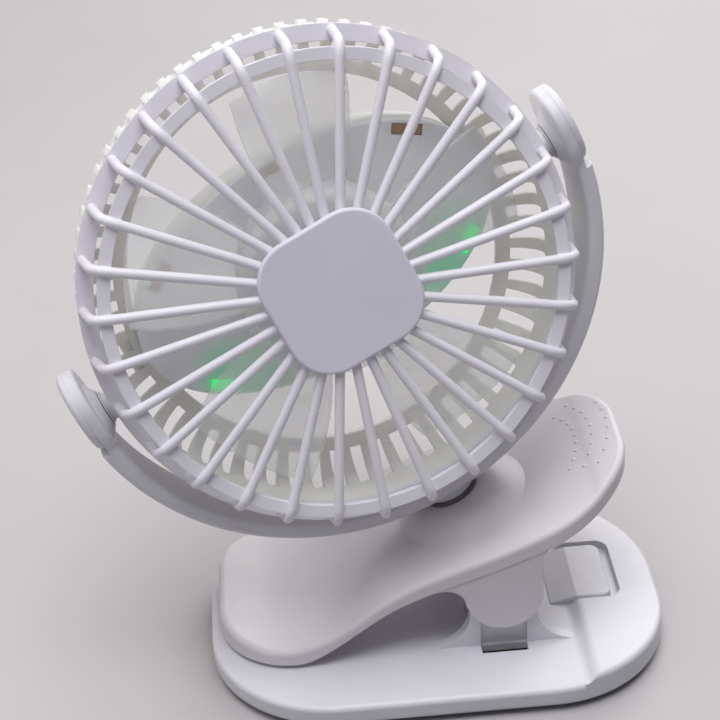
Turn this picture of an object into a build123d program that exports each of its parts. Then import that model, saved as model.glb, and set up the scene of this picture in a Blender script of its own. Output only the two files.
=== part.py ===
"""Small clip-on desk fan, built as separate named pieces in one shared frame (millimetres, +Z up).

The origin is midway along the base, in the middle plane of the lever, on the surface it rests on.
X runs along the base, the thumb end of the clip at +X, and the fan faces -Y. The pose is the one
in the photograph.
"""
import math
import os

from build123d import *

os.makedirs("parts", exist_ok=True)

# base and its cover
BASE_LEN = 129.6
BASE_WID = 89.6
BASE_MID_Y = -4.2
BASE_CORNER = 35.4
BASE_FAR_CORNER = 41.0
BASE_TOP = 8.0
BASE_WALL = 2.4
SHELL_BOTTOM = 1.8
COVER_TOP = 3.2
STEP_TOP = 10.4
STEP_FOOT_X = 37.4
STEP_HEAD_X = 42.2
EDGE_R = 1.6
GRIP_LEN = 88.0
GRIP_WID = 64.0
GRIP_TOP = 2.4
FIT = 0.2
BIG = 400.0

# clip hinge
HINGE_X = 17.7
HINGE_Z = 27.0
PIN_R = 1.5
PIN_PLAY = 0.05
POST_R = 9.5
POST_OUT = 27.5
POST_IN = 24.0
WEB_OUT = 12.0
WEB_IN = 9.6
LUG_R = 10.7
LUG_INSET = 0.25
LUG_FLARE = 6.0
FOOT_FLARE = 11.0
LUG_FLOOR = 30.2
LEVER_HALF = 31.0
SKIRT = 3.0
LEVER_WALL = 2.6
NOSE_X = -62.0
PADDLE_X = 54.8
LEVER_ROUND = 1.6
NOSE_R = 21.0
THUMB_R = 25.0
JAW_Z = 9.4

# pose of the head: lever slope, swivel about the stem, tilt in the yoke
SLOPE = math.radians(23.4)
SWIVEL = math.radians(13.0)
TILT = math.radians(12.6)
STEM_FOOT = Vector(8.9, 0, 38.25)
STEM_RISE = 84.6
SEAT_R = 9.0
SEAT_TOP = 6.0
SEAT_SPREAD = 15.0
SEAT_SINK = 0.3
STEM_R = 5.0
STEM_FLANGE_R = 7.4
STEM_FLANGE_TOP = 8.4
STEM_END = -7.6

# yoke
YOKE_OUT = 76.0
YOKE_IN = 71.2
YOKE_HALF = 8.0
EYE_R = 10.5
EYE_RISE = 3.6
EYE_IN = 68.4
EYE_FACE = 70.4
EYE_OUT = 73.4
EYE_STEP = -8.9

# head: radii about the fan axis, depths along it, measured from the tilt axis
RIM_R = 66.0
RIM_BACK = 4.3
RIM_FRONT = 6.7
RING_OUT = 61.3
RING_IN = 58.0
RIB_COUNT = 30
RIB_R = 1.3
RIB_DEPTH = 20.3
CAP_SIDE = 37.6
CAP_CORNER = 11.5
CAP_BACK = 22.6
CAP_FRONT = 24.4
WALL_R = 65.0
BOSS_END = 67.8
WALL_T = 2.2
BACK_DEPTH = -24.0
BACK_IN = 51.5
CORNER_R = 10.0
SLOT_COUNT = 60
SLOT_W = 3.2
TOOTH_COUNT = 72
POD_A = 53.0
POD_B = 30.0
POD_UP = 3.0
POD_FRONT = -11.0
POD_BACK = -33.0
POD_WALL = 2.0
PLATE_FRONT = -9.2
WINDOW_LEN = 8.4
WINDOW_WID = 3.0
WINDOW_INSET = 2.9
WINDOW_ANGLES = (90, 40, 140, -40, -140)
HUB_R = 25.0
BLADE_R = 54.0
BLADE_COUNT = 5
SHAFT_R = 1.0

AXIS_S = Vector(-math.sin(SLOPE), 0, math.cos(SLOPE))
AXIS_P = Vector(
    math.cos(SWIVEL) * math.cos(SLOPE), math.sin(SWIVEL), math.cos(SWIVEL) * math.sin(SLOPE)
)
AXIS_M = AXIS_P.cross(AXIS_S)
AXIS_N = AXIS_M * math.cos(TILT) + AXIS_S * math.sin(TILT)
HEAD = STEM_FOOT + AXIS_S * STEM_RISE

# local frames: fan (Z out of the front), yoke (Y up the stem), stem (Z up the stem)
FAN = Plane(origin=HEAD, x_dir=AXIS_P, z_dir=AXIS_N).location
YOKE = Plane(origin=HEAD, x_dir=AXIS_P, z_dir=AXIS_M).location
STEM = Plane(origin=STEM_FOOT, x_dir=AXIS_P, z_dir=AXIS_S).location


def save(shape, name):
    shape.label = name
    export_step(shape, f"parts/{name}.step")


def group(pieces):
    return Compound(children=list(pieces))


def rod(radius, z0, z1):
    """Cylinder along Z between two heights, given in either order."""
    return Pos(0, 0, (z0 + z1) / 2) * Cylinder(radius, abs(z1 - z0))


def tube(outer, inner, z0, z1):
    """Ring along Z between two heights, the lower one first."""
    return rod(outer, z0, z1) - rod(inner, z0 - 1, z1 + 1)


def rod_x(radius, x0, x1):
    return Rot(0, 90, 0) * rod(radius, x0, x1)


def rod_y(radius, y0, y1, x, z):
    return Pos(x, 0, z) * Rot(-90, 0, 0) * rod(radius, y0, y1)


def prism_z(sketch, z0, z1):
    return Pos(0, 0, z0) * extrude(sketch, z1 - z0)


def prism_y(sketch, y0, y1):
    """Sketch drawn as (x, z), swept along Y."""
    return Pos(0, y0, 0) * extrude(Plane.XZ * sketch, -(y1 - y0))


def both_sides(make):
    """One piece at +Y and its mirror image at -Y."""
    piece = make()
    return [piece, mirror(piece, Plane.XZ)]


def around(piece, count, first=0.0):
    return [Rot(0, 0, first + 360.0 * i / count) * piece for i in range(count)]


SCREW_X = BASE_LEN / 2 - 13
SCREW_Y = 16.0
SCREW_SPOTS = [(sx * SCREW_X, BASE_MID_Y + sy * SCREW_Y) for sx in (-1, 1) for sy in (-1, 1)]
INSERT_TOE = BASE_LEN / 2 - 31.4
INSERT_CREST = BASE_LEN / 2 - 23.6
INSERT_END = BASE_LEN / 2 - 13.4
INSERT_X = (INSERT_CREST + INSERT_END) / 2
INSERT_W = 24.4
INSERT_TOP = 10.2
INSERT_SEAT = BASE_TOP - 1.0
PAD_X = NOSE_X + 11
PAD_L = 14.0
PAD_W = 44.0
PAD_SINK = 0.8


def base_plan(inset=0.0):
    """Outline of the base: four round corners, the far one at the thumb end the widest."""
    corners = [(-1, -1, BASE_CORNER), (1, -1, BASE_CORNER), (1, 1, BASE_FAR_CORNER), (-1, 1, BASE_CORNER)]
    rounds = []
    for sx, sy, radius in corners:
        spot = Pos(sx * (BASE_LEN / 2 - radius), BASE_MID_Y + sy * (BASE_WID / 2 - radius))
        rounds.append(spot * Circle(radius - inset))
    return make_hull([edge for one in rounds for edge in one.edges()])


def pad_plan():
    return Pos(PAD_X, 0) * RectangleRounded(PAD_L, PAD_W, 4)


def post_profile(flare):
    """Side view of a hinge post, its foot spreading onto the base where flare is given."""
    foot = Pos(HINGE_X, (HINGE_Z + BASE_TOP - 2) / 2) * Rectangle(2 * POST_R, HINGE_Z - BASE_TOP + 2)
    foot += Pos(HINGE_X, HINGE_Z) * Circle(POST_R)
    if not flare:
        return foot
    foot += Pos(HINGE_X, BASE_TOP - 1) * Rectangle(2 * (POST_R + flare) + 16, 2)
    corners = [
        v for v in foot.vertices() if abs(v.Y - BASE_TOP) < 0.01 and abs(v.X - HINGE_X) < POST_R + 1
    ]
    return fillet(corners, flare)


def base_step():
    """Raised end of the base beyond the lever, with a smooth rise up to it."""
    block = prism_z(base_plan(), SHELL_BOTTOM + 2, STEP_TOP)
    block = fillet(block.edges().group_by(Axis.Z)[-1], EDGE_R)
    rise = Spline((STEP_FOOT_X, BASE_TOP), (STEP_HEAD_X, STEP_TOP), tangents=[(1, 0), (1, 0)])
    rest = Polyline(
        (STEP_HEAD_X, STEP_TOP), (STEP_HEAD_X, BIG), (BIG, BIG), (BIG, 0), (STEP_FOOT_X, 0),
        (STEP_FOOT_X, BASE_TOP),
    )
    return block & prism_y(make_face([rise, rest]), -BIG, BIG)


def base_shell():
    body = prism_z(base_plan(), SHELL_BOTTOM, BASE_TOP)
    body = fillet(body.edges().group_by(Axis.Z)[-1], EDGE_R)
    body = fillet(body.edges().group_by(Axis.Z)[0], EDGE_R)
    body += base_step()
    body -= prism_z(base_plan(BASE_WALL), 0, BASE_TOP - BASE_WALL)
    for x, y in SCREW_SPOTS:
        body += Pos(x, y) * rod(3.0, COVER_TOP, BASE_TOP - 1)
    for y0, y1, flare in ((POST_IN, POST_OUT, FOOT_FLARE), (WEB_IN, WEB_OUT, 0)):
        for wall in both_sides(lambda: prism_y(post_profile(flare), y0, y1)):
            body += wall
    notch = Pos(HINGE_X, 12.5) * Rectangle(13.0, 9)
    slit = Pos(HINGE_X, 7) * Rectangle(13.0, 6)
    for cut in both_sides(lambda: prism_y(notch, POST_OUT - 1.2, POST_OUT + 1)):
        body -= cut
    for cut in both_sides(lambda: prism_y(slit, POST_OUT, POST_OUT + 3.5)):
        body -= cut
    for cut in both_sides(lambda: rod_y(PIN_R, WEB_IN - 1, POST_OUT + 1, HINGE_X, HINGE_Z)):
        body -= cut
    reach = INSERT_END + 2.6 - INSERT_TOE
    window = Pos(INSERT_TOE + reach / 2, 0) * RectangleRounded(reach, INSERT_W + 2.4, 4.0)
    body -= prism_z(window, BASE_TOP, STEP_TOP + 1)
    bed = Pos((INSERT_TOE + INSERT_END) / 2, 0) * Rectangle(INSERT_END - INSERT_TOE, INSERT_W)
    body -= prism_z(bed, INSERT_SEAT, BASE_TOP + 1)
    hole = RectangleRounded(6, INSERT_W - 6, 1.6)
    body -= Pos(INSERT_X, 0) * prism_z(hole, 0, BASE_TOP)
    body -= prism_z(pad_plan(), BASE_TOP - PAD_SINK, BASE_TOP + 1)
    for x, y in SCREW_SPOTS:
        body -= Pos(x, y) * rod(1.1, 0, 6.4)
    return body


def base_cover():
    body = prism_z(base_plan(BASE_WALL + FIT), SHELL_BOTTOM, COVER_TOP)
    body -= prism_z(grip_plan(), 0, GRIP_TOP)
    for x, y in SCREW_SPOTS:
        body -= Pos(x, y) * rod(1.2, 0, 5)
        body -= Pos(x, y) * rod(2.6, 0, SHELL_BOTTOM + 0.6)
    return body


def grip_plan():
    return Pos(0, BASE_MID_Y) * RectangleRounded(GRIP_LEN, GRIP_WID, 20)


def base_grip():
    """Soft sheet let into the cover, the only piece that touches the table."""
    return prism_z(grip_plan(), 0, GRIP_TOP)


def screw(shank_r, shank_len, head_r, head_len, slot_w):
    """Screw standing on its head: the head runs from 0 to head_len, the shank above it."""
    body = rod(head_r, 0, head_len) + rod(shank_r, head_len, head_len + shank_len)
    for turn in (0, 90):
        body -= Rot(0, 0, turn) * Box(head_r * 1.3, slot_w, head_len)
    return body


def base_screws():
    one = screw(1.1, 3.6, 2.3, 1.0, 0.7)
    return group(Pos(x, y, SHELL_BOTTOM - 0.4) * one for x, y in SCREW_SPOTS)


def base_insert():
    """Wedge let into the raised end: a slope towards the hinge and a flat crest."""
    side = Polyline(
        (INSERT_TOE, INSERT_SEAT), (INSERT_TOE, BASE_TOP + 0.2), (INSERT_CREST, INSERT_TOP),
        (INSERT_END, INSERT_TOP), (INSERT_END, INSERT_SEAT), close=True,
    )
    half = INSERT_W / 2
    body = prism_y(make_face(side), -half, half)
    upright = body.edges().filter_by(Axis.Z).group_by(Axis.X)[-1]
    body = fillet(upright, 3.0)
    crest = [e for e in body.edges() if e.center().Z > BASE_TOP + 0.5]
    body = fillet(crest, 0.7)
    stem = prism_z(RectangleRounded(6, INSERT_W - 6, 1.6), BASE_TOP - BASE_WALL - 0.8, INSERT_SEAT)
    return body + Pos(INSERT_X, 0) * stem


def lower_jaw_pad():
    body = prism_z(pad_plan(), BASE_TOP - PAD_SINK, BASE_TOP + 0.6)
    for x in (-4, 0, 4):
        body -= Pos(PAD_X + x, 0, BASE_TOP + 0.6) * Box(1.0, PAD_W - 10, 0.8)
    return body


def hinge_pins():
    return group(both_sides(lambda: rod_y(PIN_R, WEB_IN, LUG_FLOOR - 0.3, HINGE_X, HINGE_Z)))


LEVER_TOP = [(-46.5, 13.6), (-35.5, 15.4), (-13.6, 29.6), (8, 38.8), (26, 45.9), (43.5, 55.2)]
LEVER_LOW = [(-35.5, 10.8), (-13.8, 25.2), (8, 33.8), (26, 40.6), (43.5, 49.2)]
LEVER_TOP_END = 61.4
LEVER_LOW_END = 55.6
ROOM_FROM = -36.0


def lever_profile(drop=0.0, floor=None):
    """Side view of the lever, from its top line lowered by drop to its skirt line or a floor."""
    top_pts = [(NOSE_X, 15.8)] + LEVER_TOP + [(PADDLE_X, LEVER_TOP_END)]
    top = Spline(*[(x, z - drop) for x, z in top_pts], tangents=[(1, -0.15), (1, 0.46)])
    if floor is None:
        low = Spline((-41, JAW_Z), *LEVER_LOW, (PADDLE_X, LEVER_LOW_END), tangents=[(1, 0), (1, 0.5)])
        flat = Line((NOSE_X, JAW_Z), (-41, JAW_Z))
        edges = [top, Line(top @ 1, low @ 1), low, flat, Line(flat @ 0, top @ 0)]
    else:
        edges = [
            top,
            Line(top @ 1, (PADDLE_X, floor)),
            Line((PADDLE_X, floor), (NOSE_X, floor)),
            Line((NOSE_X, floor), top @ 0),
        ]
    return make_face(edges)


def lever_plan(inset=0.0):
    """Outline of the lever: one width throughout, with wide round corners at both ends."""
    half = LEVER_HALF - inset
    nose = NOSE_X + inset
    tip = PADDLE_X - inset
    bend = NOSE_R - inset
    thumb = THUMB_R - inset
    edges = [
        Line((nose, 0), (nose, half - bend)),
        RadiusArc((nose, half - bend), (nose + bend, half), bend),
        Line((nose + bend, half), (tip - thumb, half)),
        RadiusArc((tip - thumb, half), (tip, half - thumb), thumb),
        Line((tip, half - thumb), (tip, 0)),
    ]
    upper = make_face(edges + [Line((tip, 0), (nose, 0))])
    return upper + mirror(upper, Plane.XZ)


def skirt_at(x):
    """Height of the skirt line of the lever at x, straight between its points."""
    line = LEVER_LOW + [(PADDLE_X, LEVER_LOW_END)]
    for (x0, z0), (x1, z1) in zip(line, line[1:]):
        if x <= x1:
            break
    return z0 + (z1 - z0) * (x - x0) / (x1 - x0)


def lug_flare(edge, side):
    """Hollow corner between one side of the lug and the skirt line."""
    mid = edge + side * LUG_FLARE
    tilt = math.atan((skirt_at(mid + 1) - skirt_at(mid - 1)) / 2)
    low = skirt_at(mid) - LUG_FLARE / math.cos(tilt)
    touch = mid - LUG_FLARE * math.sin(tilt)
    high = low + LUG_FLARE * math.cos(tilt) + 1
    inner = edge - side
    corner = Polyline((inner, low), (touch, low), (touch, high), (inner, skirt_at(inner) + 2), close=True)
    return make_face(corner) - Pos(mid, low) * Circle(LUG_FLARE)


def lug_profile():
    """Side view of a hinge lug, flaring into the skirt on both sides."""
    left = HINGE_X - LUG_R
    right = HINGE_X + LUG_R
    lug = Pos(HINGE_X, HINGE_Z) * Circle(LUG_R)
    upper = Polyline(
        (left, HINGE_Z), (right, HINGE_Z), (right, skirt_at(right) + 2), (left, skirt_at(left) + 2),
        close=True,
    )
    return lug + make_face(upper) + lug_flare(left, -1) + lug_flare(right, 1)


def stem_seat():
    """Round seat for the stem, its side sweeping far out into the top of the lever."""
    foot = SEAT_R + SEAT_SPREAD
    side = Spline((foot, -SEAT_SINK), (SEAT_R, SEAT_TOP), tangents=[(-1, 0), (-1, 0)])
    rest = Polyline((SEAT_R, SEAT_TOP), (0, SEAT_TOP), (0, -1.0), (foot, -1.0), (foot, -SEAT_SINK))
    return revolve(Plane.XZ * make_face([side, rest]), Axis.Z, 360)


def lever():
    body = prism_y(lever_profile(), -LEVER_HALF, LEVER_HALF) & prism_z(lever_plan(), 0, BIG)
    body = fillet(body.faces().sort_by(SortBy.AREA)[-1].edges(), LEVER_ROUND)
    room = prism_y(lever_profile(LEVER_WALL, floor=0), -LEVER_HALF, LEVER_HALF)
    room &= prism_z(lever_plan(SKIRT), 0, BIG)
    room -= Pos(ROOM_FROM - BIG / 2, 0, 0) * Box(BIG, BIG, BIG)
    body -= room
    lug_band = prism_z(lever_plan(LUG_INSET) - lever_plan(SKIRT), 0, BIG)
    for side in both_sides(lambda: prism_y(lug_profile(), 0, LEVER_HALF) & lug_band):
        body += side
    body += STEM * (stem_seat() + rod(SEAT_R, -7.3, -1))
    body -= STEM * rod(STEM_R + PIN_PLAY, -20, SEAT_TOP + 4)
    for cut in both_sides(
        lambda: rod_y(PIN_R + PIN_PLAY, LEVER_HALF - SKIRT - 1, LUG_FLOOR, HINGE_X, HINGE_Z)
    ):
        body -= cut
    body -= prism_z(pad_plan(), 0, JAW_Z + 1.0)
    return body


def upper_jaw_pad():
    body = prism_z(pad_plan(), BASE_TOP + 0.8, JAW_Z + 1.0)
    for x in (-4, 0, 4):
        body -= Pos(PAD_X + x, 0, BASE_TOP + 0.8) * Box(1.0, PAD_W - 10, 0.8)
    return body


SPRING_R = 3.7
SPRING_WIRE = 0.6
SPRING_TURNS = 3
SPRING_PITCH = 1.8
SPRING_Y = 15.4
LEG_DOWN = 80.0
LEG_UP = 76.0
LEG_UP_LEN = 16.0


def coil_point(angle):
    """Point on the coil and its direction, at an angle in degrees about the hinge line."""
    a = math.radians(angle)
    rise = SPRING_PITCH / 360.0
    y = SPRING_Y + rise * (angle - (90 - LEG_DOWN))
    spot = Vector(HINGE_X + SPRING_R * math.cos(a), y, HINGE_Z + SPRING_R * math.sin(a))
    slope = Vector(-SPRING_R * math.sin(a), math.degrees(rise), SPRING_R * math.cos(a))
    return spot, slope.normalized()


def biarc(p0, t0, p1, t1):
    """Two arcs from p0 to p1 that leave along t0 and arrive along t1."""
    v = p1 - p0
    t = t0 + t1
    k = 1 - t0.dot(t1)
    d = (-v.dot(t) + math.sqrt(v.dot(t) ** 2 + 2 * k * v.dot(v))) / (2 * k)
    mid = (p0 + p1 + (t0 - t1) * d) * 0.5
    return [TangentArc(p0, mid, tangent=t0), TangentArc(p1, mid, tangent=t1 * -1)]


def clip_spring():
    """Torsion spring on one hinge pin, one leg on the base and one under the lever."""
    first = 90 - LEG_DOWN
    last = 360 * SPRING_TURNS - (90 - LEG_UP)
    steps = 4 * SPRING_TURNS
    angles = [first + (last - first) * i / steps for i in range(steps + 1)]
    marks = [coil_point(a) for a in angles]
    edges = []
    for (p0, t0), (p1, t1) in zip(marks, marks[1:]):
        edges += biarc(p0, t0, p1, t1)
    start, heading = marks[0]
    down = (start.Z - BASE_TOP - SPRING_WIRE * 1.3) / heading.Z
    foot = start - heading * down
    stop, heading = marks[-1]
    tip = stop + heading * LEG_UP_LEN
    path = Wire([Line(foot, start).edge()] + [e.edge() for e in edges] + [Line(stop, tip).edge()])
    spots = [coil_point(first + i * 5)[0] for i in range(int((last - first) / 5) + 1)]
    gap = min(
        (a - b).length for i, a in enumerate(spots) for b in spots[i + 36:]
    ) - 2 * SPRING_WIRE
    print(f"clip spring: least gap between turns {gap:.2f} mm")
    return sweep(Plane(origin=foot, z_dir=(start - foot)) * Circle(SPRING_WIRE), path=path)


def clip_springs():
    return group(both_sides(clip_spring))


def swivel_washer():
    return STEM * tube(8.2, STEM_R + 0.4, SEAT_TOP, SEAT_TOP + 1.0)


def swivel_stem():
    body = rod(STEM_FLANGE_R, SEAT_TOP + 1.1, STEM_FLANGE_TOP) + rod(4.5, STEM_FLANGE_TOP, 12.4)
    body += rod(STEM_R, STEM_END, SEAT_TOP + 1.1)
    return STEM * (body - rod(1.5, -8, -1))


def stem_washer():
    return STEM * tube(7.5, 1.6, STEM_END - 1.2, STEM_END)


def stem_screw():
    return STEM * Pos(0, 0, STEM_END - 3.4) * screw(1.5, 7.6, 3.0, 2.2, 0.9)


def eye_plan(low=0.0):
    """Outline of an eye: a round end drawn out from height low to EYE_RISE."""
    return Pos(0, (low + EYE_RISE) / 2) * Rot(0, 0, 90) * SlotCenterToCenter(EYE_RISE - low, 2 * EYE_R)


def yoke():
    band = Circle(YOKE_OUT) - Circle(YOKE_IN)
    band &= Pos(0, -BIG / 2) * Rectangle(BIG, BIG)
    body = prism_z(band, -YOKE_HALF, YOKE_HALF)
    body = fillet(body.edges().filter_by(GeomType.CIRCLE), 1.5)
    eye = prism_z(eye_plan(), EYE_FACE, EYE_OUT)
    eye = fillet(eye.edges().group_by(Axis.Z)[0], 1.2)
    eye += Pos(0, 0, (EYE_IN + EYE_FACE) / 2) * Cone(5.2, 8.4, EYE_FACE - EYE_IN)
    for side in (-1, 1):
        body -= Pos(side * (EYE_OUT + BIG / 2), EYE_STEP + BIG / 2) * Box(BIG, BIG, BIG)
        body += Rot(0, 90 * side, 0) * eye
    body += Pos(0, -STEM_RISE) * Rot(-90, 0, 0) * rod(STEM_FLANGE_R, STEM_FLANGE_TOP, 10.5)
    body -= Pos(0, -STEM_RISE) * Rot(-90, 0, 0) * rod(4.5, 0, 12.4)
    for side in (-1, 1):
        body -= rod_x(PIN_R + PIN_PLAY, side * (EYE_IN - 5), side * (EYE_OUT + 5))
        body -= rod_x(3.5, side * (EYE_OUT - 1.4), side * (EYE_OUT + 5))
    return YOKE * body


def pivot_cap(side):
    """Domed cover over one tilt screw, flush with the top of the eye under it."""
    body = prism_z(eye_plan(EYE_RISE / 2), EYE_OUT, EYE_OUT + 2.2)
    body = fillet(body.edges().group_by(Axis.Z)[-1], 1.7)
    body += rod(3.5, EYE_OUT - 0.3, EYE_OUT)
    return YOKE * Rot(0, 90 * side, 0) * body


def pivot_screws():
    one = Pos(0, 0, EYE_OUT - 0.4) * Rot(180, 0, 0) * screw(PIN_R, 11.0, 3.0, 0.9, 0.7)
    return group(FAN * Rot(0, 90 * side, 0) * one for side in (-1, 1))


def pivot_washers():
    one = tube(4.6, PIN_R, BOSS_END, EYE_IN - 0.2)
    return group(FAN * Rot(0, 90 * side, 0) * one for side in (-1, 1))


def squircle(side, corner):
    return RectangleRounded(side, side, corner)


def front_guard():
    path = FilletPolyline((12, 21.6), (62.8, RIB_DEPTH - 0.4), (64.9, 5.4), radius=4.6)
    path = Plane.XZ * path
    rib = sweep(Plane(origin=path @ 0, z_dir=path % 0) * Circle(RIB_R), path=path)
    body = tube(RIM_R + 0.2, RING_OUT + 0.4, RIM_BACK, RIM_FRONT)
    body += tube(RING_OUT, RING_IN, 17.6, 19.6)
    body += prism_z(squircle(34, 10), CAP_BACK - 1.8, CAP_BACK)
    body += around(rib, RIB_COUNT)
    body -= prism_z(squircle(CAP_SIDE, CAP_CORNER), CAP_BACK, CAP_BACK + 4)
    return FAN * body


def guard_cap():
    body = prism_z(squircle(CAP_SIDE, CAP_CORNER), CAP_BACK, CAP_FRONT)
    body = fillet(body.edges().group_by(Axis.Z)[-1], 0.8)
    return FAN * body


def pod_plan(inset=0.0):
    return Pos(0, POD_UP) * Ellipse(POD_A - inset, POD_B - inset)


def bowl_profile(outset):
    """Half section of the rear guard wall, as radius and depth."""
    r = WALL_R - outset
    back = BACK_DEPTH + outset
    bend = CORNER_R - outset
    side = Line((r, RIM_BACK), (r, back + bend))
    turn = RadiusArc((r, back + bend), (r - bend, back), bend)
    base = Line((r - bend, back), (BACK_IN, back))
    return [side, turn, base]


BUTTON_AT = (0, -15)
SOCKET_AT = (16, -15)
LENS_AT = (-14, -15)
POD_SCREW_X = 43.0


def rear_guard():
    outer = bowl_profile(0)
    inner = bowl_profile(WALL_T)
    ends = [Line(outer[2] @ 1, inner[2] @ 1), Line(outer[0] @ 0, inner[0] @ 0)]
    section = Plane.XZ * make_face(outer + inner + ends)
    body = revolve(section, Axis.Z, 360)
    slot = Pos(65, 0, -22.5) * Box(19, SLOT_W, 22)
    body -= around(slot, SLOT_COUNT)
    tooth = Pos(65.3, 0, -8) * Box(1.8, 2.4, 5)
    body += around(tooth, TOOTH_COUNT)
    body -= prism_z(pod_plan(), POD_BACK - 1, POD_FRONT + 1)
    for side in (-1, 1):
        body += rod_x(4.0, side * 63, side * BOSS_END)
        body -= rod_x(PIN_R, side * 60, side * 80)
    return FAN * body


def pod_shell():
    """Oval cup for motor, cell and board, let into the ring of the rear guard."""
    body = prism_z(pod_plan(), POD_BACK, POD_FRONT)
    body = fillet(body.edges().group_by(Axis.Z)[0], 5)
    for side in (-1, 1):
        body += Pos(side * 54, POD_UP, BACK_DEPTH - 1.2) * Box(9, 12, 2.4)
    body -= prism_z(pod_plan(POD_WALL), POD_BACK + POD_WALL, POD_FRONT + 1)
    for side in (-1, 1):
        spot = Pos(side * POD_SCREW_X, POD_UP)
        body += spot * rod(3.2, POD_BACK + 1, POD_FRONT - 7)
        body -= spot * rod(1.3, POD_BACK - 1, POD_FRONT)
        body -= spot * rod(2.6, POD_BACK - 1, POD_BACK + 2.2)
    body -= Pos(*BUTTON_AT) * rod(5.3, POD_BACK - 1, POD_BACK + 3)
    body -= Pos(*SOCKET_AT) * prism_z(RectangleRounded(9.4, 3.6, 1.5), POD_BACK - 1, POD_BACK + 3)
    body -= Pos(*LENS_AT) * rod(1.6, POD_BACK - 1, POD_BACK + 3)
    return FAN * body


def window_plan(angle):
    """Outline of one lamp window, lying along the inside of the oval's edge."""
    t = math.radians(angle)
    a = POD_A - WINDOW_INSET
    b = POD_B - WINDOW_INSET
    turn = math.degrees(math.atan2(b * math.cos(t), -a * math.sin(t)))
    spot = Pos(a * math.cos(t), POD_UP + b * math.sin(t))
    return spot * Rot(0, 0, turn) * Rectangle(WINDOW_LEN, WINDOW_WID)


def pod_plate():
    body = prism_z(pod_plan(), POD_FRONT, PLATE_FRONT)
    body = fillet(body.edges().group_by(Axis.Z)[-1], 0.8)
    body -= rod(3.0, POD_FRONT - 1, PLATE_FRONT + 1)
    for angle in WINDOW_ANGLES:
        body -= prism_z(window_plan(angle), POD_FRONT - 1, PLATE_FRONT + 1)
    for side in (-1, 1):
        body += Pos(side * POD_SCREW_X, POD_UP) * rod(3.0, POD_FRONT - 7, POD_FRONT)
        body -= Pos(side * POD_SCREW_X, POD_UP) * rod(1.3, POD_FRONT - 8, POD_FRONT - 1)
    return FAN * body


def pod_screws():
    one = Pos(0, 0, POD_BACK + 0.6) * screw(1.3, 17.0, 2.4, 1.6, 0.8)
    return group(FAN * Pos(side * POD_SCREW_X, POD_UP) * one for side in (-1, 1))


def motor_can():
    body = rod(10, -27.5, POD_FRONT)
    body = fillet(body.edges().group_by(Axis.Z)[0], 1.5)
    body -= rod(SHAFT_R + PIN_PLAY, -15, 0)
    return FAN * body


def motor_bush():
    return FAN * tube(3.0, SHAFT_R + PIN_PLAY, POD_FRONT, PLATE_FRONT + 0.8)


def motor_shaft():
    return FAN * rod(SHAFT_R, -14.8, 9)


def battery_cell():
    body = rod_x(7.0, -25, 24) + rod_x(2.6, 24, 25)
    return FAN * Pos(0, 19.5, -22.5) * body


def control_board():
    body = Pos(0, -15, -20.6) * Box(60, 8, 1.2)
    return FAN * body


def tact_switch():
    body = Pos(BUTTON_AT[0], BUTTON_AT[1], -22.6) * Box(6, 6, 2.8)
    body += Pos(*BUTTON_AT) * rod(1.6, -24.8, -24.0)
    return FAN * body


def leds():
    one = Pos(0, 0, -19.2) * Box(3.2, 2.4, 1.6)
    return group(FAN * Pos(x, -15) * one for x in (-26, 26))


def usb_socket():
    body = prism_z(RectangleRounded(8.9, 3.1, 1.3), POD_BACK, -21.2)
    body -= prism_z(RectangleRounded(8.3, 2.5, 1.0), POD_BACK - 1, -23)
    body += prism_z(Rectangle(6.2, 0.7), POD_BACK + 0.8, -23)
    return FAN * Pos(*SOCKET_AT) * body


def led_lens():
    return FAN * Pos(*LENS_AT) * rod(1.6, POD_BACK - 0.2, -21.2)


def power_button():
    body = rod(4.9, POD_BACK - 1.8, POD_BACK + POD_WALL + 0.1)
    body = fillet(body.edges().group_by(Axis.Z)[0], 0.8)
    body += rod(6.2, POD_BACK + POD_WALL + 0.1, POD_BACK + POD_WALL + 0.9)
    body += rod(1.5, POD_BACK + POD_WALL + 0.9, -26.3)
    return FAN * Pos(*BUTTON_AT) * body


def blade():
    """One twisted blade along +X, lofted from root to tip."""
    sections = []
    for r, chord, pitch in ((20, 22, 38), (36, 33, 29), (56, 35, 22)):
        frame = Plane(origin=(r, 0, 4), x_dir=(0, 1, 0), z_dir=(1, 0, 0))
        sections.append(frame * Rot(0, 0, pitch) * RectangleRounded(chord, 1.5, 0.7))
    return loft(sections)


def impeller():
    hub = rod(HUB_R, -4, 13)
    hub = fillet(hub.edges().group_by(Axis.Z)[-1], 4)
    blades = around(blade(), BLADE_COUNT)
    body = hub
    for one in blades:
        body += one
    body &= rod(BLADE_R, -20, 30)
    body -= rod(HUB_R - 2.4, -20, 10.4)
    body += rod(4, -7.5, 11)
    body -= rod(SHAFT_R, -20, 9)
    return FAN * body


MAKERS = [
    base_shell, base_cover, base_grip, base_screws, base_insert, lower_jaw_pad, hinge_pins, clip_springs,
    lever, upper_jaw_pad, swivel_washer, swivel_stem, stem_washer, stem_screw,
    yoke, pivot_screws, pivot_washers, front_guard, guard_cap, rear_guard, pod_shell, pod_plate,
    pod_screws, motor_can, motor_bush, motor_shaft, battery_cell, control_board, tact_switch,
    leds, usb_socket, led_lens, power_button, impeller,
]
for make in MAKERS:
    save(make(), make.__name__)
save(pivot_cap(-1), "pivot_cap_left")
save(pivot_cap(1), "pivot_cap_right")
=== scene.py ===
import math

import bmesh
import bpy
from mathutils import Matrix, Vector
from mathutils.bvhtree import BVHTree


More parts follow.
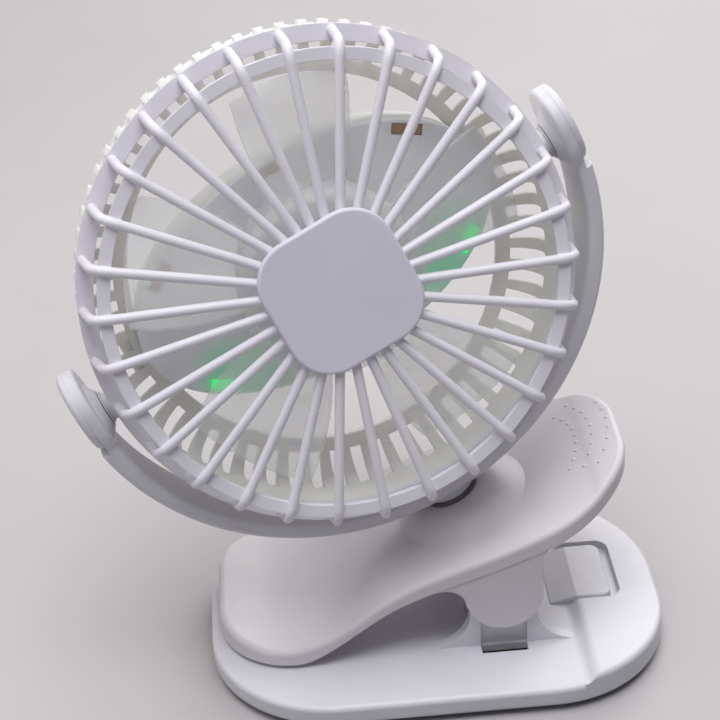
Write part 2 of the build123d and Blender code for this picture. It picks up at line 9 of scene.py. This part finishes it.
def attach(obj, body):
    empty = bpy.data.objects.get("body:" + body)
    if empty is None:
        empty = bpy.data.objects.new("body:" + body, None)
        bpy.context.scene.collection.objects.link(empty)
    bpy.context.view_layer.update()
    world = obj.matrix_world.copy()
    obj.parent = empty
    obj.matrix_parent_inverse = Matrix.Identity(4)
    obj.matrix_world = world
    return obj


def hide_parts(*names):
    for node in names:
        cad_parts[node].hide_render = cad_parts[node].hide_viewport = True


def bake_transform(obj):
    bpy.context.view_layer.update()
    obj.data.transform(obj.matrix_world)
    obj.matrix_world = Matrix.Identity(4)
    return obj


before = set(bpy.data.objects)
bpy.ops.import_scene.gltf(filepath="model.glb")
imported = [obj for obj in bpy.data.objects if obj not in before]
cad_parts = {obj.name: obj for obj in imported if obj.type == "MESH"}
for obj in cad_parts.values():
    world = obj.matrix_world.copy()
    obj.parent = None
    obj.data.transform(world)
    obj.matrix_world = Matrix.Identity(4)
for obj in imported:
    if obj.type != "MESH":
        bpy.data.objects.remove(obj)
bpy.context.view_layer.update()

MM = 0.001

# pose of the head, as in the part's source
SLOPE = math.radians(23.4)
SWIVEL = math.radians(13.0)
TILT = math.radians(12.6)
STEM_FOOT = Vector((8.9, 0, 38.25)) * MM
STEM_RISE = 84.6 * MM
AXIS_S = Vector((-math.sin(SLOPE), 0, math.cos(SLOPE)))
AXIS_P = Vector(
    (math.cos(SWIVEL) * math.cos(SLOPE), math.sin(SWIVEL), math.cos(SWIVEL) * math.sin(SLOPE))
)
AXIS_M = AXIS_P.cross(AXIS_S)
AXIS_N = AXIS_M * math.cos(TILT) + AXIS_S * math.sin(TILT)
AXIS_U = AXIS_N.cross(AXIS_P)
HEAD = STEM_FOOT + AXIS_S * STEM_RISE


def basis(x, y, z, origin):
    rows = Matrix((x, y, z)).transposed().to_4x4()
    rows.translation = origin
    return rows


FAN = basis(AXIS_P, AXIS_U, AXIS_N, HEAD)


def srgb(r, g, b):
    """Colour written as 0 to 255, as the linear value the shader takes."""
    out = []
    for c in (r, g, b):
        c /= 255.0
        out.append(c / 12.92 if c <= 0.04045 else ((c + 0.055) / 1.055) ** 2.4)
    return (*out, 1.0)


# values shared by every moulded or metal surface
CLOUD_BAND = (0.35, 0.65)
CLOUD_DETAIL = 4.0
NOISE_BAND = (0.3, 0.7)
NOISE_DETAIL = 2.0
GLOSS_COARSER = 6
GLOSS_SPREAD = 0.06
BLOTCH = 30.0
EDGE_R = 0.35 * MM
BEVEL_SAMPLES = 4
WEAR_BAND = (0.99, 0.80)
WEAR_MOST = 0.7
RELIEF_DEPTH = 0.2 * MM
SOFT_REACH = (3.0, 2.7, 2.4)


class Tree:
    """Adds and links shader nodes of one material or world."""

    def __init__(self, owner):
        owner.use_nodes = True
        self.nodes = owner.node_tree.nodes
        self.links = owner.node_tree.links
        self.shader = self.nodes.get("Principled BSDF")

    def add(self, kind, **values):
        node = self.nodes.new(kind)
        for key, value in values.items():
            setattr(node, key, value)
        return node

    def link(self, a, b):
        self.links.new(a, b)

    def noise(self, scale, detail, stretch=(1, 1, 1)):
        where = self.add("ShaderNodeTexCoord")
        place = self.add("ShaderNodeMapping")
        place.inputs["Scale"].default_value = stretch
        self.link(where.outputs["Object"], place.inputs["Vector"])
        node = self.add("ShaderNodeTexNoise")
        node.inputs["Scale"].default_value = scale
        node.inputs["Detail"].default_value = detail
        self.link(place.outputs["Vector"], node.inputs["Vector"])
        return node.outputs["Fac"]

    def larger(self, a, b):
        node = self.add("ShaderNodeMath", operation="MAXIMUM")
        self.link(a, node.inputs[0])
        self.link(b, node.inputs[1])
        return node.outputs["Value"]

    def seen(self):
        """1 for what is seen straight, in gloss or through glass, 0 for light."""
        path = self.add("ShaderNodeLightPath")
        straight = self.larger(path.outputs["Is Camera Ray"], path.outputs["Is Glossy Ray"])
        return self.larger(straight, path.outputs["Is Transmission Ray"])

    def remap(self, value, band, to_low, to_high, soft=False):
        node = self.add("ShaderNodeMapRange", interpolation_type="SMOOTHSTEP" if soft else "LINEAR")
        self.link(value, node.inputs["Value"])
        numbers = (*band, to_low, to_high)
        for key, number in zip(("From Min", "From Max", "To Min", "To Max"), numbers):
            node.inputs[key].default_value = number
        return node.outputs["Result"]

    def mix(self, factor, a, b):
        """Mix two colours, each a value or an output socket."""
        node = self.add("ShaderNodeMix", data_type="RGBA")
        self.link(factor, node.inputs[0])
        for index, value in ((6, a), (7, b)):
            if isinstance(value, tuple):
                node.inputs[index].default_value = value
            else:
                self.link(value, node.inputs[index])
        return node.outputs[2]


def surface(name, light, dark, rough, edge_tint, grain=1600.0, relief=0.05, stretch=(1, 1, 1),
            metal=0.0, alpha=1.0, soft=0.0):
    """Moulded or metal surface: cloudy colour, grain in the relief, uneven gloss, rubbed edges."""
    mat = bpy.data.materials.new(name)
    tree = Tree(mat)
    shader = tree.shader
    cloud = tree.remap(tree.noise(BLOTCH, CLOUD_DETAIL, stretch), CLOUD_BAND, 0.0, 1.0)
    colour = tree.mix(cloud, light, dark)
    bevel = tree.add("ShaderNodeBevel", samples=BEVEL_SAMPLES)
    bevel.inputs["Radius"].default_value = EDGE_R
    flat = tree.add("ShaderNodeNewGeometry")
    turn = tree.add("ShaderNodeVectorMath", operation="DOT_PRODUCT")
    tree.link(bevel.outputs["Normal"], turn.inputs[0])
    tree.link(flat.outputs["Normal"], turn.inputs[1])
    worn = tree.remap(turn.outputs["Value"], WEAR_BAND, 0.0, WEAR_MOST)
    tree.link(tree.mix(worn, colour, edge_tint), shader.inputs["Base Color"])
    uneven = tree.noise(grain / GLOSS_COARSER, NOISE_DETAIL, stretch)
    gloss = tree.remap(uneven, NOISE_BAND, rough - GLOSS_SPREAD, rough + GLOSS_SPREAD)
    tree.link(gloss, shader.inputs["Roughness"])
    bump = tree.add("ShaderNodeBump")
    bump.inputs["Strength"].default_value = relief
    bump.inputs["Distance"].default_value = RELIEF_DEPTH
    tree.link(tree.noise(grain, NOISE_DETAIL, stretch), bump.inputs["Height"])
    tree.link(bevel.outputs["Normal"], bump.inputs["Normal"])
    tree.link(bump.outputs["Normal"], shader.inputs["Normal"])
    shader.inputs["Metallic"].default_value = metal
    shader.inputs["Alpha"].default_value = alpha
    if soft:
        shader.inputs["Subsurface Weight"].default_value = soft
        shader.inputs["Subsurface Radius"].default_value = SOFT_REACH
        shader.inputs["Subsurface Scale"].default_value = MM
    return mat


def lit_from_behind(mat, spots, colour, band, strength):
    """Soft coloured light showing through a thin wall near the given spots."""
    tree = Tree(mat)
    shader = tree.shader
    where = tree.add("ShaderNodeTexCoord")
    near = None
    for spot in spots:
        gap = tree.add("ShaderNodeVectorMath", operation="DISTANCE")
        tree.link(where.outputs["Object"], gap.inputs[0])
        gap.inputs[1].default_value = spot
        fade = tree.remap(gap.outputs["Value"], band, 1.0, 0.0, soft=True)
        near = fade if near is None else tree.larger(near, fade)
    plain = shader.inputs["Base Color"].links[0].from_socket
    tree.link(tree.mix(near, plain, colour), shader.inputs["Base Color"])
    tree.link(tree.remap(near, (0.0, 1.0), 0.0, strength), shader.inputs["Emission Strength"])
    shader.inputs["Emission Color"].default_value = colour


WHITE_SHELL = surface("white_shell", srgb(228, 226, 232), srgb(222, 220, 227), 0.42,
                      srgb(236, 235, 240), relief=0.06)
# painted shade: the lever's white is a little darker than the base's white, standing in for the
# head's shadow over the lever
LEVER_WHITE_SHADED = surface("white_lever_painted_shade", srgb(222, 218, 222), srgb(216, 211, 216), 0.45,
                      srgb(230, 227, 231), relief=0.08)
WHITE_GUARD = surface("white_guard", srgb(238, 235, 243), srgb(232, 229, 238), 0.36,
                      srgb(244, 242, 248), relief=0.05)
CAP_WHITE = surface("cap_white", srgb(228, 225, 237), srgb(222, 219, 232), 0.46,
                    srgb(237, 234, 244), grain=2200, relief=0.12)
WHITE_INNER = surface("white_inner", srgb(244, 243, 239), srgb(238, 237, 232), 0.48,
                      srgb(248, 247, 244), relief=0.08, soft=0.6)
WHITE_PLATE = surface("white_plate", srgb(243, 243, 245), srgb(237, 237, 240), 0.48,
                      srgb(247, 247, 249), relief=0.08, soft=0.4)
GREY_RUBBER = surface("grey_rubber", srgb(126, 126, 129), srgb(116, 116, 120), 0.72,
                      srgb(140, 140, 143), grain=900, relief=0.2)
CLEAR_RUBBER = surface("clear_rubber", srgb(208, 206, 204), srgb(198, 196, 195), 0.6,
                       srgb(216, 215, 213), grain=900, relief=0.15)
# painted shade: the swivel washer is mid grey, standing in for the dark shade just under the yoke
SHADE_GREY_WASHER = surface("dark_washer", srgb(104, 100, 100), srgb(94, 90, 90), 0.55,
                      srgb(114, 112, 114), grain=1200, relief=0.1)
STEEL = surface("steel", srgb(178, 180, 184), srgb(160, 162, 167), 0.3,
                srgb(205, 206, 209), grain=1400, relief=0.08, metal=1.0, stretch=(1, 1, 6))
BRASS = surface("brass", srgb(196, 164, 96), srgb(176, 146, 84), 0.32,
                srgb(214, 188, 126), grain=1400, relief=0.06, metal=1.0)
CELL_WRAP = surface("cell_wrap", srgb(62, 112, 150), srgb(54, 100, 138), 0.3,
                    srgb(96, 138, 168), grain=700, relief=0.05)
BOARD = surface("board", srgb(28, 92, 58), srgb(22, 78, 50), 0.4,
                srgb(150, 140, 90), grain=800, relief=0.1)
BLACK_PLASTIC = surface("black_plastic", srgb(34, 34, 36), srgb(28, 28, 30), 0.4,
                        srgb(62, 62, 65), grain=1500, relief=0.06)
FROSTED = surface("frosted_blade", srgb(250, 251, 248), srgb(244, 246, 242), 0.38,
                  srgb(252, 253, 251), grain=1200, relief=0.06, alpha=0.32, soft=0.9)
TAN_LENS = surface("tan_lens", srgb(170, 140, 106), srgb(154, 124, 92), 0.35,
                   srgb(186, 160, 130), grain=900, relief=0.1)
# painted shade: the base cover is near black, so that the slot in the base top reads as deep shade
SLOT_SHADE_COVER = surface("cover_painted_slot_shade", srgb(27, 27, 29), srgb(22, 22, 24), 0.6,
                     srgb(44, 44, 47), grain=1200, relief=0.1)

# small lamps
GLOW_DIMMEST = 0.7
GLOW_BRIGHTEST = 1.2
GLOW_DEEPER = 0.8
GLOW_SHADE_GRAIN = 900.0
GLOW_TINT_GRAIN = 600.0
GLOW_ROUGH = 0.3


def glowing(name, colour, strength):
    """Small lamp with an uneven glow."""
    mat = bpy.data.materials.new(name)
    tree = Tree(mat)
    shader = tree.shader
    uneven = tree.noise(GLOW_SHADE_GRAIN, NOISE_DETAIL)
    shade = tree.remap(uneven, NOISE_BAND, GLOW_DIMMEST * strength, GLOW_BRIGHTEST * strength)
    deeper = tuple(GLOW_DEEPER * c for c in colour[:3]) + (1.0,)
    tint = tree.mix(tree.noise(GLOW_TINT_GRAIN, NOISE_DETAIL), colour, deeper)
    tree.link(tint, shader.inputs["Base Color"])
    tree.link(shade, shader.inputs["Emission Strength"])
    shader.inputs["Emission Color"].default_value = colour
    shader.inputs["Roughness"].default_value = GLOW_ROUGH
    return mat


# oval plate behind the blades and its windows, as in the part's source
POD_A = 53.0
POD_B = 30.0
POD_UP = 3.0
PLATE_FRONT = -9.2
WINDOW_INSET = 2.9
WINDOW_SUNK = 0.2


def window_spot(angle, inset=WINDOW_INSET):
    """Place and turn of a window on the oval, inset from its edge."""
    t = math.radians(angle)
    a = POD_A - inset
    b = POD_B - inset
    return a * math.cos(t), POD_UP + b * math.sin(t), math.atan2(b * math.cos(t), -a * math.sin(t))


GREEN_LED = glowing("green_led", srgb(40, 214, 104), 0.9)
GLOW_ANGLES = (-40, -52, -140, -128)
GLOW_INSET = 6.0
GLOW_TINT = srgb(160, 226, 190)
GLOW_BAND = (3.0 * MM, 13.0 * MM)
GLOW_STRENGTH = 0.1


def glow_spots():
    spots = []
    for angle in GLOW_ANGLES:
        x, y = window_spot(angle, GLOW_INSET)[:2]
        spots.append(FAN @ (Vector((x, y, PLATE_FRONT)) * MM))
    return spots


lit_from_behind(WHITE_PLATE, glow_spots(), GLOW_TINT, GLOW_BAND, GLOW_STRENGTH)

FINISH = {
    WHITE_SHELL: ["base_shell", "base_insert", "yoke", "pivot_cap_left", "pivot_cap_right",
                  "power_button", "swivel_stem", "pivot_washers"],
    SLOT_SHADE_COVER: ["base_cover"],
    LEVER_WHITE_SHADED: ["lever"],
    WHITE_GUARD: ["front_guard"],
    CAP_WHITE: ["guard_cap"],
    WHITE_INNER: ["rear_guard", "pod_shell"],
    WHITE_PLATE: ["pod_plate"],
    FROSTED: ["impeller"],
    GREY_RUBBER: ["base_grip"],
    CLEAR_RUBBER: ["lower_jaw_pad", "upper_jaw_pad"],
    SHADE_GREY_WASHER: ["swivel_washer"],
    STEEL: ["base_screws", "hinge_pins", "clip_springs", "stem_washer", "stem_screw",
            "pivot_screws", "pod_screws", "motor_can", "motor_shaft", "usb_socket"],
    BRASS: ["motor_bush"],
    CELL_WRAP: ["battery_cell"],
    BOARD: ["control_board"],
    BLACK_PLASTIC: ["tact_switch"],
    GREEN_LED: ["leds", "led_lens"],
}
for mat, names in FINISH.items():
    for name in names:
        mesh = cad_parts[name].data
        mesh.materials.clear()
        mesh.materials.append(mat)


def piece(name, bm, mat, body=None, smooth=True):
    """Mesh object from a bmesh, with its finish and the body it moves with."""
    mesh = bpy.data.meshes.new(name)
    bm.to_mesh(mesh)
    bm.free()
    mesh.materials.append(mat)
    for face in mesh.polygons:
        face.use_smooth = smooth
    obj = bpy.data.objects.new(name, mesh)
    bpy.context.scene.collection.objects.link(obj)
    if body:
        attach(obj, body)
    return obj


def skin(bm, rings):
    """Closed skin over rings of points with as many points each, capped at both ends."""
    loops = [[bm.verts.new(spot) for spot in ring] for ring in rings]
    count = len(loops[0])
    for low, high in zip(loops, loops[1:]):
        for k in range(count):
            j = (k + 1) % count
            bm.faces.new((low[k], low[j], high[j], high[k]))
    bm.faces.new(list(reversed(loops[0])))
    bm.faces.new(loops[-1])


# clip springs: coil and two legs, between base and lever
HINGE = Vector((17.7, 0, 27.0))
SPRING_R = 3.7
SPRING_WIRE = 0.6
SPRING_TURNS = 3
SPRING_PITCH = 1.8
SPRING_Y = 15.4
LEG_DOWN = 80.0
LEG_UP = 76.0
LEG_UP_LEN = 16.0
BASE_TOP = 8.0
WIRE_SIDES = 10
STEPS_PER_TURN = 28
FOOT_STEPS = 6
TIP_STEPS = 8
FOOT_REST = 1.3


def spring_line(side):
    """Points along one spring wire, from the foot on the base to the tip under the lever."""
    first = 90 - LEG_DOWN
    last = 360 * SPRING_TURNS - (90 - LEG_UP)
    count = STEPS_PER_TURN * SPRING_TURNS
    points = []
    for i in range(count + 1):
        angle = first + (last - first) * i / count
        a = math.radians(angle)
        y = SPRING_Y + SPRING_PITCH / 360.0 * (angle - first)
        points.append(HINGE + Vector((SPRING_R * math.cos(a), y, SPRING_R * math.sin(a))))
    out = (points[1] - points[0]).normalized()
    foot = points[0] - out * (points[0].z - BASE_TOP - SPRING_WIRE * FOOT_REST) / out.z
    out = (points[-1] - points[-2]).normalized()
    tip = points[-1] + out * LEG_UP_LEN
    line = [foot.lerp(points[0], i / FOOT_STEPS) for i in range(FOOT_STEPS)] + points
    line += [points[-1].lerp(tip, (i + 1) / TIP_STEPS) for i in range(TIP_STEPS)]
    return [Vector((p.x, p.y * side, p.z)) * MM for p in line]


def wire_mesh(line, radius, sides):
    """Round wire along a line of points, closed at both ends."""
    rings = []
    across = None
    for i, spot in enumerate(line):
        ahead = (line[min(i + 1, len(line) - 1)] - line[max(i - 1, 0)]).normalized()
        if across is None:
            across = ahead.orthogonal()
        across = (across - ahead * across.dot(ahead)).normalized()
        third = ahead.cross(across)
        ring = []
        for k in range(sides):
            t = 2 * math.pi * k / sides
            ring.append(spot + (across * math.cos(t) + third * math.sin(t)) * radius)
        rings.append(ring)
    bm = bmesh.new()
    skin(bm, rings)
    bmesh.ops.recalc_face_normals(bm, faces=bm.faces)
    return bm


for side, name in ((1, "clip_spring_rear"), (-1, "clip_spring_front")):
    line = spring_line(side)
    spring = piece(name, wire_mesh(line, SPRING_WIRE * MM, WIRE_SIDES), STEEL)
    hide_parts("clip_springs")
    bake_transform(spring)


# lamp windows in the pod plate: two lit, three unlit
WINDOW = (8.2, 2.8, 0.9)
WINDOW_CORNER = 0.6
WINDOW_SOFT_EDGE = 0.15
CORNER_STEPS = 5
WINDOW_LIT = {
    "lamp_window_right": (-40, True),
    "lamp_window_left": (-140, True),
    "lamp_window_top": (90, False),
    "lamp_window_upper_right": (40, False),
    "lamp_window_upper_left": (140, False),
}


def rounded_plate(size, radius, soft_edge):
    """Thin plate with rounded corners and a softened face, about its own middle."""
    w, h, t = size
    rings = []
    for inset, z in ((0.0, -t / 2), (0.0, t / 2 - soft_edge), (soft_edge, t / 2)):
        ring = []
        for cx, cy, start in ((1, 1, 0), (-1, 1, 90), (-1, -1, 180), (1, -1, 270)):
            for i in range(CORNER_STEPS + 1):
                a = math.radians(start + 90 * i / CORNER_STEPS)
                x = cx * (w / 2 - radius) + (radius - inset) * math.cos(a)
                y = cy * (h / 2 - radius) + (radius - inset) * math.sin(a)
                ring.append(Vector((x, y, z)) * MM)
        rings.append(ring)
    bm = bmesh.new()
    skin(bm, rings)
    return bm


for name, (angle, lit) in WINDOW_LIT.items():
    bm = rounded_plate(WINDOW, WINDOW_CORNER, WINDOW_SOFT_EDGE)
    x, y, turn = window_spot(angle)
    spot = Vector((x, y, PLATE_FRONT - WINDOW_SUNK - WINDOW[2] / 2)) * MM
    place = FAN @ Matrix.Translation(spot) @ Matrix.Rotation(turn, 4, "Z")
    bmesh.ops.transform(bm, matrix=place, verts=bm.verts)
    mat, slot = (GREEN_LED, "green_led") if lit else (TAN_LENS, "frosted_blade")
    piece(name, bm, mat, "head", smooth=False)


# raised dots on the thumb end of the lever, in arcs about one centre
DOT_R = 0.75
DOT_HIGH = 0.13
DOT_PROFILE = ((1.0, -0.5), (0.86, 0.35), (0.5, 0.8))
DOT_SIDES = 12
ABOVE_ALL = 0.2
DOT_CENTRE = (18.0, 5.0)
DOT_ARCS = (25.0, 29.4, 33.8)
DOT_TURN = 8.0
DOTS_PER_ARC = 9
PADDLE_CORNER = (29.8, 6.0)
DOT_LIMIT = 22.4


def dot(bm, spot, up):
    """Low dome on a surface point, its rim a little below the surface."""
    side = up.orthogonal().normalized()
    third = up.cross(side)
    rings = []
    for share, rise in DOT_PROFILE:
        ring = []
        for k in range(DOT_SIDES):
            a = math.tau * k / DOT_SIDES
            out = (side * math.cos(a) + third * math.sin(a)) * DOT_R * share
            ring.append(bm.verts.new(spot + (out + up * rise * DOT_HIGH) * MM))
        rings.append(ring)
    top = bm.verts.new(spot + up * DOT_HIGH * MM)
    for k in range(DOT_SIDES):
        j = (k + 1) % DOT_SIDES
        for low, high in zip(rings, rings[1:]):
            bm.faces.new((low[k], low[j], high[j], high[k]))
        bm.faces.new((rings[-1][k], rings[-1][j], top))
    bm.faces.new(list(reversed(rings[0])))


def thumb_dots():
    """Dots set on the lever's top face, clear of the paddle's rounded edge."""
    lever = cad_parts["lever"].data
    corners = [v.co.copy() for v in lever.vertices]
    faces = [list(p.vertices) for p in lever.polygons]
    tree = BVHTree.FromPolygons(corners, faces)
    bm = bmesh.new()
    for radius in DOT_ARCS:
        for k in range(DOTS_PER_ARC):
            a = math.radians(DOT_TURN * (k - (DOTS_PER_ARC - 1) / 2))
            x = DOT_CENTRE[0] + radius * math.cos(a)
            y = DOT_CENTRE[1] + radius * math.sin(a)
            past_corner = max(abs(y) - PADDLE_CORNER[1], 0)
            if math.hypot(x - PADDLE_CORNER[0], past_corner) > DOT_LIMIT:
                continue
            start = Vector((x * MM, y * MM, ABOVE_ALL))
            spot, up = tree.ray_cast(start, Vector((0, 0, -1)))[:2]
            dot(bm, spot, up)
    piece("thumb_dots", bm, LEVER_WHITE_SHADED, "lever")


thumb_dots()


# floor: darker for the light it sends back than where it is seen
FLOOR_R = 0.75
FLOOR_SIDES = 96
FLOOR_BLOTCH = 6.0
FLOOR_LIGHT = (srgb(160, 158, 160), srgb(155, 153, 155))
FLOOR_SEEN = (srgb(192, 189, 190), srgb(187, 184, 185))
FLOOR_ROUGH = 0.7


def floor():
    bm = bmesh.new()
    bmesh.ops.create_circle(bm, cap_ends=True, segments=FLOOR_SIDES, radius=FLOOR_R)
    mesh = bpy.data.meshes.new("floor")
    bm.to_mesh(mesh)
    bm.free()
    obj = bpy.data.objects.new("floor", mesh)
    bpy.context.scene.collection.objects.link(obj)
    mat = bpy.data.materials.new("floor")
    tree = Tree(mat)
    cloud = tree.remap(tree.noise(FLOOR_BLOTCH, CLOUD_DETAIL), NOISE_BAND, 0.0, 1.0)
    colour = tree.mix(tree.seen(), tree.mix(cloud, *FLOOR_LIGHT), tree.mix(cloud, *FLOOR_SEEN))
    tree.link(colour, tree.shader.inputs["Base Color"])
    tree.shader.inputs["Roughness"].default_value = FLOOR_ROUGH
    mesh.materials.append(mat)


floor()

# soft lamps, each with its place, side in metres, power in watts and colour
LAMP_AIM = Vector((-0.01, 0, 0.09))
LAMPS = {
    "top": ((0.0, -0.15, 1.3), 0.9, 10.2, (0.98, 0.98, 1.0)),
    "front": ((-0.15, -0.45, 1.3), 0.7, 3.4, (0.96, 0.97, 1.0)),
    "back_right": ((0.45, 0.85, 0.75), 0.9, 7.8, (1.0, 0.99, 0.97)),
    "back_left": ((-0.65, 0.5, 1.0), 0.8, 2.2, (1.0, 0.97, 0.92)),
    "left": ((-0.9, -0.25, 0.7), 0.8, 1.8, (1.0, 0.99, 0.98)),
}


def lamp(name, spot, side, power, colour):
    """Square lamp turned to the fan."""
    data = bpy.data.lights.new(name, "AREA")
    data.size = side
    data.energy = power
    data.color = colour
    obj = bpy.data.objects.new(name, data)
    obj.location = spot
    obj.rotation_euler = (Vector(spot) - LAMP_AIM).to_track_quat("Z", "Y").to_euler()
    bpy.context.scene.collection.objects.link(obj)


for name, values in LAMPS.items():
    lamp(name, *values)

# even light from all round, and what is seen behind the floor
SKY_LIGHT = (0.105, 0.104, 0.117, 1.0)
SKY_SEEN = srgb(180, 178, 181)


def sky():
    """Weak even light from all round, pale where it is seen."""
    world = bpy.data.worlds.new("soft")
    bpy.context.scene.world = world
    tree = Tree(world)
    background = tree.nodes["Background"]
    tree.link(tree.mix(tree.seen(), SKY_LIGHT, SKY_SEEN), background.inputs["Color"])
    background.inputs["Strength"].default_value = 1.0


sky()

# camera at the photograph's viewing point: angles, the spot it looks at, distance, focal length
CAMERA_AZ = math.radians(-2.72)
CAMERA_EL = math.radians(31.24)
CAMERA_ROLL = math.radians(-3.19)
CAMERA_TARGET = Vector((-17.23, 0, 88.49)) * MM
CAMERA_AWAY = 526.33 * MM
SENSOR = 36.0
FOCAL_SHARE = 1931.56 / 720.0
CLIP_START = 0.01


def camera():
    flat = math.cos(CAMERA_EL)
    back = Vector((math.sin(CAMERA_AZ) * flat, -math.cos(CAMERA_AZ) * flat, math.sin(CAMERA_EL)))
    level = (-back).cross(Vector((0, 0, 1))).normalized()
    plumb = level.cross(-back)
    right = level * math.cos(CAMERA_ROLL) + plumb * math.sin(CAMERA_ROLL)
    up = plumb * math.cos(CAMERA_ROLL) - level * math.sin(CAMERA_ROLL)
    data = bpy.data.cameras.new("camera")
    data.sensor_width = SENSOR
    data.lens = FOCAL_SHARE * SENSOR
    data.clip_start = CLIP_START
    obj = bpy.data.objects.new("camera", data)
    obj.matrix_world = basis(right, up, back, CAMERA_TARGET + back * CAMERA_AWAY)
    bpy.context.scene.collection.objects.link(obj)
    bpy.context.scene.camera = obj


camera()
bpy.context.scene.view_settings.view_transform = "Standard"
